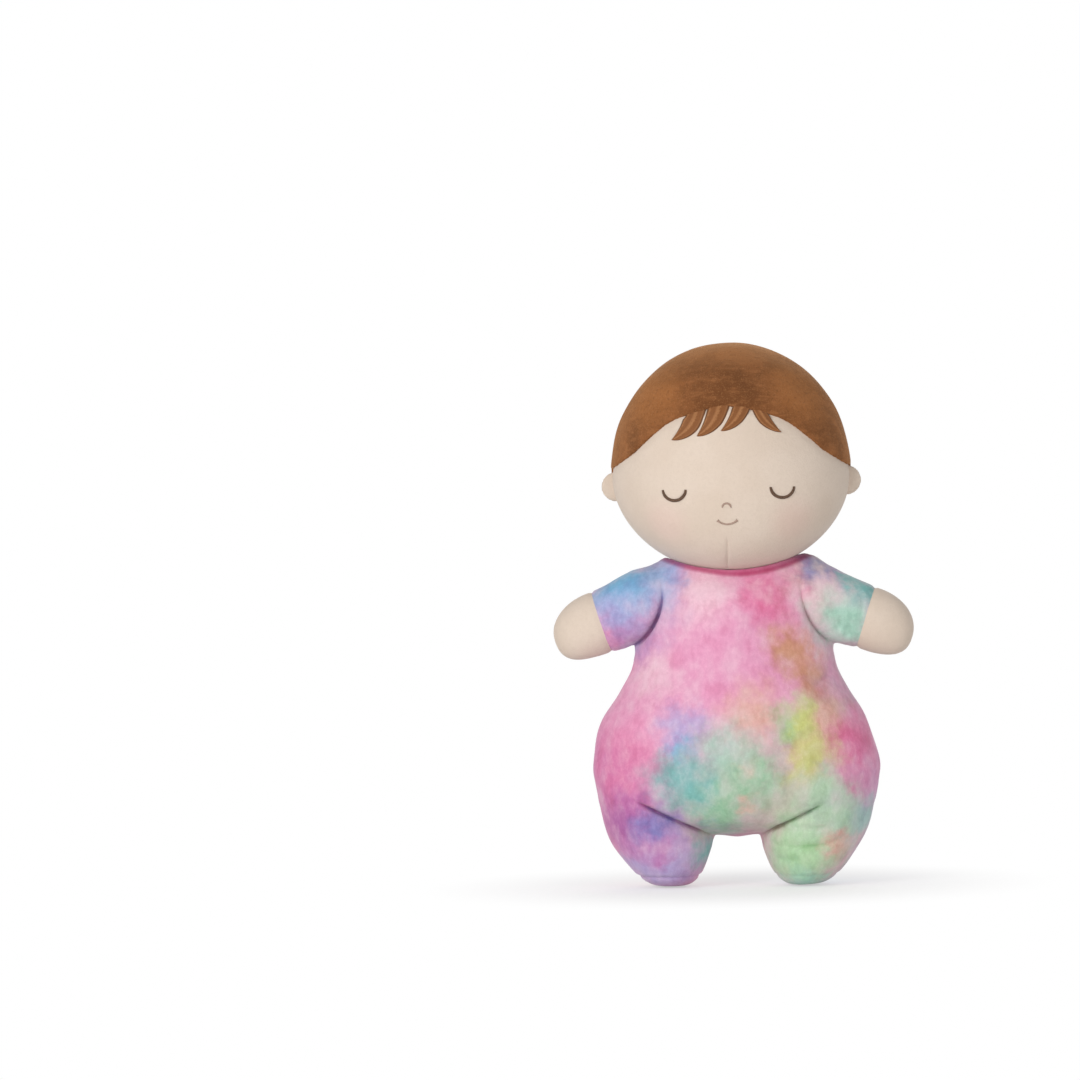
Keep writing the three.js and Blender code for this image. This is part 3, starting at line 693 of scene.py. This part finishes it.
def seam_depth(p):
    """How deep the seams, creases and folds pull the suit in."""
    x, y, z = p.T
    depth = np.zeros(len(p))
    for _, side in SIDES:
        sx = side * x
        arm, leg = on_arm(p, side), on_leg(p, side)
        depth += arm * (sx > 55) * CUFF_DEPTH * bell(cuff(p, side), 1.0)
        fade = (ARMHOLE_DEPTH - 0.9 * side) * smoothstep(168, 144, z)
        fade = fade * (0.3 + 0.7 * smoothstep(2, 14, np.abs(y))) + 0.15
        away = armhole(p, side)
        fold = bell(away, SEAM_WIDTH) - SEAM_PUFF * bell(np.abs(away) - 5, 3.5)
        depth += arm * (sx < 60) * fade * fold
        fade = CREASE_DEPTH * smoothstep(54 - 3 * side, 40 - 3 * side, sx) * np.where(y < 0, 1.0, 0.6)
        fade = fade * (0.2 + 0.8 * smoothstep(12, 22, sx))
        away = hip(p, side)
        depth += leg * fade * bell(away, SEAM_WIDTH)
        depth -= leg * fade * smoothstep(3, 14, sx) * SEAM_PUFF * bell(np.abs(away) - 5.5, 4)
        depth += leg * (z < 14) * (SOLE_SEAM_DEPTH - 0.2 * side) * bell(z - SOLE_SEAM_Z, SEAM_WIDTH)
    flank = (np.abs(x) > FLANK_X) & (z > FLANK_LOW) & (z < FLANK_HIGH)
    depth += flank * SEAM_DEPTH * bell(y, SEAM_WIDTH)
    depth += (y > 10) * SEAM_DEPTH * bell(x, SEAM_WIDTH) * smoothstep(30, 40, z) * smoothstep(178, 165, z)
    for run, deep, wide in FOLDS:
        away, along = line_distance(x, z, run)
        depth += (y < 6) * deep * bell(away, wide) * np.sin(math.pi * np.clip(along, 0.02, 0.98))
    return depth


def cap_loops(points, faces, depth=2.5):
    """Closes each open rim with a shallow dish that faces inwards."""
    seen = {(a, b) for f in faces for a, b in zip(f, f[1:] + f[:1])}
    after = {b: a for f in faces for a, b in zip(f, f[1:] + f[:1]) if (b, a) not in seen}
    points, faces = list(map(tuple, points)), list(faces)
    middle = np.mean(points, axis=0)
    while after:
        start, loop = next(iter(after)), []
        while start in after:
            loop.append(start)
            start = after.pop(start)
        rim = np.array([points[i] for i in loop])
        inwards = middle - rim.mean(axis=0)
        points.append(tuple(rim.mean(axis=0) + depth * inwards / np.linalg.norm(inwards)))
        hub = len(points) - 1
        faces += [[a, b, hub] for a, b in zip(loop, loop[1:] + loop[:1])]
    return np.array(points), faces


def sew_suit(points, quads):
    """Cuts the one skin along its seams, draws the seams in, and keeps the shading across the cuts."""
    bm = net(points, quads)
    for _, side in SIDES:
        cut(bm, lambda p: cuff(p, side), lambda p: on_arm(p, side))
        for away in SEAM_CUTS:
            cut(bm, lambda p: armhole(p, side) - away, lambda p: on_arm(p, side) & (side * p[:, 0] < 62))
            cut(bm, lambda p: hip(p, side) - away, lambda p: on_leg(p, side))
        cut(bm, lambda p: p[:, 2] - SOLE_SEAM_Z, lambda p: on_leg(p, side) & (p[:, 2] < 16))
        cut(bm, lambda p: p[:, 1],
            lambda p: (side * p[:, 0] > FLANK_X) & (p[:, 2] > FLANK_LOW) & (p[:, 2] < FLANK_HIGH))
    cut(bm, lambda p: p[:, 0], lambda p: (p[:, 1] > 10) & (p[:, 2] > 32))
    where, normals = spread(bm)
    faces = [[v.index for v in f.verts] for f in bm.faces]
    centres = np.array([where[f].mean(axis=0) for f in faces])
    labels = np.full(len(faces), "torso", dtype=object)
    for name, side in SIDES:
        arm, leg = on_arm(centres, side), on_leg(centres, side)
        labels[arm & (armhole(centres, side) > 0)] = f"sleeve_{name}"
        labels[arm & (cuff(centres, side) > 0)] = f"hand_{name}"
        labels[leg & (hip(centres, side) > 0)] = f"leg_{name}"
    depth = seam_depth(where)
    # How deep each seam, crease and fold pulls in, also kept as the fold value that paints shade into them
    fold = np.maximum(depth, 0)
    where = where - depth[:, None] * normals
    for v, place in zip(bm.verts, where):
        v.co = place
    normals = spread(bm)[1]
    bm.free()
    pieces = {}
    for label in sorted(set(labels)):
        own = [faces[i] for i in np.flatnonzero(labels == label)]
        used = sorted({i for f in own for i in f})
        place = {old: new for new, old in enumerate(used)}
        shape, closed = cap_loops(where[used], [[place[i] for i in f] for f in own])
        hubs = len(shape) - len(used)
        shading = np.vstack([normals[used], np.zeros((hubs, 3))])
        values = {"neck": stack(*shape.T, HEAD_ROWS), "fold": np.r_[fold[used], np.zeros(hubs)]}
        material = SKIN if label.startswith("hand") else SUIT
        pieces[label] = mesh_object(f"{label}_cover", shape, closed, material, shading, values)
    return pieces


# Stuffing: the suit swells between its seams as cloth under pressure
def held_share(p):
    """How firmly each point is held by the sewing."""
    share = 1.0 * (p[:, 2] > 170)
    for _, side in SIDES:
        sx, arm, leg = side * p[:, 0], on_arm(p, side), on_leg(p, side)
        share = np.maximum(share, arm * (sx > 50) * bell(cuff(p, side), 2.5))
        share = np.maximum(share, arm * (sx < 60) * bell(armhole(p, side), 2.5))
        share = np.maximum(share, leg * bell(hip(p, side), 2.5) * smoothstep(62, 40, sx))
        share = np.maximum(share, leg * bell(p[:, 2] - SOLE_SEAM_Z, 3.0))
    return np.maximum(share, (p[:, 1] > 10) * bell(p[:, 0], 2.0))


def swell():
    """Points of a coarse suit, and how far each ends from the plain form after the cloth has filled out."""
    grid = Grid(BODY_LOW, BODY_HIGH, CLOTH_STEP)
    field = body_field(grid)
    points, quads = skin(field + CLOTH_START, grid)
    obj = mesh_object("swelling", points, quads, SUIT)
    group = obj.vertex_groups.new(name="held")
    for i, share in enumerate(held_share(points)):
        if share > 0.02:
            group.add([i], float(share), "REPLACE")
    cloth = obj.modifiers.new("swelling", "CLOTH")
    settings = cloth.settings
    settings.quality, settings.mass = 6, CLOTH_MASS
    settings.tension_stiffness = settings.compression_stiffness = CLOTH_STIFFNESS
    settings.shear_stiffness, settings.bending_stiffness = 7, 0.1
    settings.use_pressure, settings.uniform_pressure_force = True, CLOTH_PRESSURE
    settings.shrink_min = -0.025
    settings.vertex_group_mass = group.name
    settings.effector_weights.gravity = 0
    cloth.point_cache.frame_start, cloth.point_cache.frame_end = 1, CLOTH_FRAMES
    for f in range(1, CLOTH_FRAMES + 1):
        scene.frame_set(f)
    filled = obj.evaluated_get(bpy.context.evaluated_depsgraph_get()).data
    moved = np.array([v.co for v in filled.vertices]) / MM
    bpy.data.objects.remove(obj)
    scene.frame_set(1)
    slope, length = steepest(field, grid, points)
    normal = slope / length[:, None]
    relief = ((moved - points) * normal).sum(axis=1) - CLOTH_START
    wide, z = np.abs(points[:, 0]), points[:, 2]
    free = smoothstep(176, 158, z) * smoothstep(3, 16, z)
    free *= 1 - smoothstep(34, 29, z) * smoothstep(18, 12, wide)
    firm = ARM_FIRMNESS * smoothstep(50, 62, wide) * smoothstep(112, 118, z)
    return points + CLOTH_START * normal, np.clip(relief + firm, CLOTH_DIP, CLOTH_CAP) * free


def follow(points, coarse, relief):
    """The relief of the coarse suit at each point of the fine one."""
    tree = KDTree(len(coarse))
    for i, p in enumerate(coarse):
        tree.insert(p, i)
    tree.balance()
    out = np.zeros(len(points))
    for i, p in enumerate(points):
        near = tree.find_n(p, FOLLOW_COUNT)
        share = np.array([math.exp(-((d / FOLLOW_REACH) ** 2)) for _, _, d in near])
        out[i] = share @ relief[[j for _, j, _ in near]] / share.sum()
    return out


def make_suit():
    """The pieces of the suit and the hands."""
    grid = Grid(BODY_LOW, BODY_HIGH, BODY_STEP)
    body = body_field(grid)
    points, quads = skin(body, grid)
    slope, length = steepest(body, grid, points)
    points += (follow(points, *swell()) / length)[:, None] * slope
    return sew_suit(points, quads)


pieces = make_suit()

# Ears
for name, side in SIDES:
    at = np.array([side * EAR_X, EAR_Y, EAR_Z + EAR_LIFT[name]])
    grid = Grid(at - EAR_ROOM, at + EAR_ROOM, EAR_STEP)
    dx, dy, dz = (grid.x - at[0]) * side, grid.y - at[1], grid.z - at[2]
    ear = np.sqrt((dx / EAR_RADIUS) ** 2 + (dy / EAR_HALF_DEPTH) ** 2 + (dz / EAR_RADIUS) ** 2) - 1
    points, quads = skin(grid.even(ear) + EAR_SEAM_DEPTH * bell(dy, 1.0), grid)
    obj = mesh_object(f"ear_{name}_cover", points, quads, SKIN)
    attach(obj, "head")
    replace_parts(obj, f"ear_{name}")


# Embroidery on the face
def unit_rows(rows):
    return rows / np.linalg.norm(rows, axis=1)[:, None]


def face_frame(x, z):
    """A place on the face, and the direction out of it."""
    e = 0.05
    at = np.stack([x, face_y(x, z), z], axis=1)
    du = np.stack([np.full_like(x, 2 * e), face_y(x + e, z) - face_y(x - e, z), np.zeros_like(x)], axis=1)
    dv = np.stack([np.zeros_like(x), face_y(x, z + e) - face_y(x, z - e), np.full_like(x, 2 * e)], axis=1)
    return at, unit_rows(np.cross(du, dv))


def stitched_line(name, path, radius, stitches, material, tip=0.35):
    """A raised line of satin stitch along a path on the face, its ends a given share of its middle."""
    length = np.r_[0, np.cumsum(np.linalg.norm(np.diff(path, axis=0), axis=1))]
    t = np.linspace(0, 1, stitches * 6 + 1)
    x, z = (np.interp(t * length[-1], length, path[:, k]) for k in (0, 1))
    at, out = face_frame(x, z)
    across = np.cross(out, unit_rows(np.gradient(at, axis=0)))
    ring = 12
    a = np.linspace(0, 2 * math.pi, ring, endpoint=False)
    rows = []
    for k in range(len(t)):
        taper = tip + (1 - tip) * min(1.0, 6 * min(t[k], 1 - t[k])) ** 0.6
        r = radius * taper * (1 + 0.09 * np.sin(2 * math.pi * stitches * t[k] + 1.5 * np.cos(a)))
        sideways, up = r * np.cos(a), 0.75 * r * np.sin(a) + 0.12
        rows.append(at[k] + sideways[:, None] * across[k] + up[:, None] * out[k])
    points = np.vstack(rows + [at[:1], at[-1:]])
    faces = []
    for k in range(len(t) - 1):
        for j in range(ring):
            i, m = k * ring + j, k * ring + (j + 1) % ring
            faces.append([i, i + ring, m + ring, m])
    first, last, end = len(points) - 2, len(points) - 1, (len(t) - 1) * ring
    faces += [[first, j, (j + 1) % ring] for j in range(ring)]
    faces += [[last, end + (j + 1) % ring, end + j] for j in range(ring)]
    obj = mesh_object(name, points, faces, material)
    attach(obj, "head")
    return obj


def arc(x, z, rx, rz, start, end, count=40):
    a = np.radians(np.linspace(start, end, count))
    return np.c_[x + rx * np.cos(a), z + rz * np.sin(a)]


for name, side in SIDES:
    path = arc(side * EYE_X, EYE_Z + EYE_LIFT[name], EYE_HALF_WIDTH, EYE_DROP, 182, 358)
    eye = stitched_line(f"eye_{name}_stitch", path, 0.85, 26, EYE_THREAD, 0.7)
    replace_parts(eye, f"eye_{name}")
nose = stitched_line("nose_stitch", arc(*NOSE_ARC), 0.5, 10, FACE_THREAD)
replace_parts(nose, "nose")
mouth = stitched_line("mouth_stitch", arc(*MOUTH_ARC), 0.52, 20, FACE_THREAD, 1.45)
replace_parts(mouth, "mouth")


def fringe_lock(name, left, right, tip, bow):
    """A leaf of satin stitch from two roots at the hairline to a tip, laid on the face."""
    left, right, tip = (np.array(p, float) for p in (left, right, tip))
    root = (left + right) / 2
    count, wide = 30, 17
    t = np.linspace(0, 1, count)
    bend = (root + tip) / 2 + np.array([-(tip - root)[1], (tip - root)[0]]) * bow
    spine = np.outer((1 - t) ** 2, root) + np.outer(2 * t * (1 - t), bend) + np.outer(t**2, tip)
    along = unit_rows(np.gradient(spine, axis=0))
    start = (right - left) / 2
    square = np.stack([-along[:, 1], along[:, 0]], axis=1)
    square *= np.sign(square @ start)[:, None]
    lean = smoothstep(0, 0.45, t)[:, None]
    half = (start * (1 - lean) + square * lean * np.linalg.norm(start)) * ((1 - t**1.7) ** 0.8)[:, None]
    u = np.linspace(-1, 1, wide)
    flat = spine[:, None] + u[None, :, None] * half[:, None]
    at, out = face_frame(*flat.reshape(-1, 2).T)
    strand = np.tile(u, count) + 0.25 * np.repeat(t, wide)
    puff = 1 - np.abs(np.tile(u, count)) ** 2.6 + 0.1 * np.sin(7 * strand)
    rise = 0.15 + 0.85 * np.repeat(smoothstep(0.0, 0.3, t), wide)
    top, under = at + ((0.2 + 0.75 * puff) * rise)[:, None] * out, at - 0.5 * out
    size = count * wide
    faces = []
    for i in range(count - 1):
        for j in range(wide - 1):
            a = i * wide + j
            faces.append([a, a + 1, a + wide + 1, a + wide])
            faces.append([size + a, size + a + wide, size + a + wide + 1, size + a + 1])
    rim = list(range(wide)) + [i * wide + wide - 1 for i in range(1, count)]
    rim += [(count - 1) * wide + j for j in range(wide - 2, -1, -1)]
    rim += [i * wide for i in range(count - 2, 0, -1)]
    faces += [[b, a, size + a, size + b] for a, b in zip(rim, rim[1:] + rim[:1])]
    obj = mesh_object(name, np.vstack([top, under]), faces, LOCK, values={"across": np.tile(u, 2 * count)})
    bm = bmesh.new()
    bm.from_mesh(obj.data)
    bmesh.ops.recalc_face_normals(bm, faces=bm.faces)
    bm.to_mesh(obj.data)
    bm.free()
    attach(obj, "head")
    return obj


for i, lock in enumerate(LOCKS, 1):
    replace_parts(fringe_lock(f"fringe_{i}_stitch", *lock), f"fringe_lock_{i}")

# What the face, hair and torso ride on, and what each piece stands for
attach(face, "head")
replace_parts(face, "face_panel", "head_stuffing", "neck_seam")
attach(hair, "head")
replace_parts(hair, "hair_cap")
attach(pieces["torso"], "torso")
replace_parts(pieces["torso"], "torso_front_panel", "torso_back_panel", "torso_stuffing")
for name, side in SIDES:
    for part in ("sleeve", "hand"):
        start, end = (side * ARM_BLEND_START * MM, 0, 0), (side * ARM_BLEND_END * MM, 0, 0)
        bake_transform(pieces[f"{part}_{name}"])
    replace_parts(pieces[f"sleeve_{name}"], f"sleeve_{name}", f"arm_stuffing_{name}", f"shoulder_seam_{name}")
    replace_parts(pieces[f"hand_{name}"], f"hand_{name}")
    start = np.array([side * CREASE_X, 0, CREASE_Z])
    end = start + LEG_BLEND_LENGTH * np.array([side * CREASE_SLOPE, 0, -1]) / math.hypot(1, CREASE_SLOPE)
    leg = pieces[f"leg_{name}"]
    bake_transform(leg)
    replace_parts(leg, f"leg_{name}", f"sole_{name}", f"leg_stuffing_{name}", f"hip_seam_{name}")

# Floor, light and camera, in metres
FLOOR_HALF, FLOOR_GREY, FLOOR_NEAR, FLOOR_FAR, FLOOR_LEAST = 6, 0.92, 0.05, 0.18, 0.5
SKY_LIGHT, LIGHT_TARGET = 0.44, (0, 0, 0.15)
LIGHTS = (
    ("key", (-1.0, -1.5, 0.65), 0.8, 20),
    ("fill", (1.2, -1.4, 0.2), 0.9, 9.5),
    ("rear", (0.3, 1.9, 0.8), 1.6, 14),
)
FRAME_SIDE, MIDDLE_COLUMN, SOLE_ROW, PIXEL = 1080, 733.5, 886, 0.5355 * MM
CAMERA_DISTANCE, CAMERA_TARGET_Z, SENSOR = 4.0, 0.145, 36
CAMERA_AZIMUTH, CAMERA_ELEVATION, CAMERA_ROLL = math.radians(2), math.radians(2), math.radians(-1.0)


def open_rays(nodes, links):
    """1 for what the eye sees straight on, in gloss or through glass, and 0 for light on the object."""
    path = nodes.new("ShaderNodeLightPath")
    total = path.outputs["Is Camera Ray"]
    for ray in ("Is Glossy Ray", "Is Transmission Ray"):
        either = nodes.new("ShaderNodeMath")
        either.operation = "MAXIMUM"
        links.new(total, either.inputs[0])
        links.new(path.outputs[ray], either.inputs[1])
        total = either.outputs[0]
    return total


def floor_material():
    """White to the eye away from the object, a plain pale floor that takes its shadow near it."""
    material = bpy.data.materials.new("white_floor")
    material.use_nodes = True
    nodes, links = material.node_tree.nodes, material.node_tree.links
    pale = nodes["Principled BSDF"]
    pale.inputs["Base Color"].default_value = (FLOOR_GREY, FLOOR_GREY, FLOOR_GREY, 1)
    pale.inputs["Roughness"].default_value = 0.9
    white = nodes.new("ShaderNodeEmission")
    place = nodes.new("ShaderNodeNewGeometry")
    length = nodes.new("ShaderNodeVectorMath")
    length.operation = "LENGTH"
    far = nodes.new("ShaderNodeMapRange")
    far.interpolation_type = "SMOOTHSTEP"
    for key, value in (("From Min", FLOOR_NEAR), ("From Max", FLOOR_FAR), ("To Min", FLOOR_LEAST)):
        far.inputs[key].default_value = value
    share = nodes.new("ShaderNodeMath")
    share.operation = "MULTIPLY"
    mix = nodes.new("ShaderNodeMixShader")
    links.new(place.outputs["Position"], length.inputs[0])
    links.new(length.outputs["Value"], far.inputs["Value"])
    links.new(far.outputs["Result"], share.inputs[0])
    links.new(open_rays(nodes, links), share.inputs[1])
    links.new(share.outputs[0], mix.inputs[0])
    links.new(pale.outputs[0], mix.inputs[1])
    links.new(white.outputs[0], mix.inputs[2])
    links.new(mix.outputs[0], nodes["Material Output"].inputs["Surface"])
    return material


corners = [(a * FLOOR_HALF, b * FLOOR_HALF, 0) for a, b in ((-1, -1), (1, -1), (1, 1), (-1, 1))]
floor_mesh = bpy.data.meshes.new("floor")
floor_mesh.from_pydata(corners, [], [(0, 1, 2, 3)])
floor_mesh.materials.append(floor_material())
floor = bpy.data.objects.new("floor", floor_mesh)
scene.collection.objects.link(floor)

world = bpy.data.worlds.new("studio")
scene.world = world
world.use_nodes = True
nodes, links = world.node_tree.nodes, world.node_tree.links
nodes["Background"].inputs["Color"].default_value = (1, 1, 1, 1)
level = nodes.new("ShaderNodeMapRange")
level.inputs["To Min"].default_value, level.inputs["To Max"].default_value = SKY_LIGHT, 1.0
links.new(open_rays(nodes, links), level.inputs["Value"])
links.new(level.outputs["Result"], nodes["Background"].inputs["Strength"])

for name, place, size, power in LIGHTS:
    light = bpy.data.lights.new(name, "AREA")
    light.size, light.energy = size, power
    obj = bpy.data.objects.new(name, light)
    obj.location = place
    obj.rotation_euler = (Vector(LIGHT_TARGET) - Vector(place)).to_track_quat("-Z", "Y").to_euler()
    scene.collection.objects.link(obj)

camera_data = bpy.data.cameras.new("camera")
camera = bpy.data.objects.new("camera", camera_data)
scene.collection.objects.link(camera)
scene.camera = camera
back = Vector((
    math.sin(CAMERA_AZIMUTH) * math.cos(CAMERA_ELEVATION),
    -math.cos(CAMERA_AZIMUTH) * math.cos(CAMERA_ELEVATION),
    math.sin(CAMERA_ELEVATION),
))
camera.location = Vector((0, 0, CAMERA_TARGET_Z)) + back * CAMERA_DISTANCE
roll = Matrix.Rotation(CAMERA_ROLL, 3, "Z").to_quaternion()
camera.rotation_euler = ((-back).to_track_quat("-Z", "Y") @ roll).to_euler()
camera_data.sensor_width = SENSOR
camera_data.clip_end = 50
camera_data.lens = SENSOR * CAMERA_DISTANCE / (FRAME_SIDE * PIXEL)
camera_data.shift_x = (FRAME_SIDE / 2 - MIDDLE_COLUMN) / FRAME_SIDE
camera_data.shift_y = (SOLE_ROW - CAMERA_TARGET_Z / PIXEL - FRAME_SIDE / 2) / FRAME_SIDE
scene.view_settings.view_transform = "Standard"
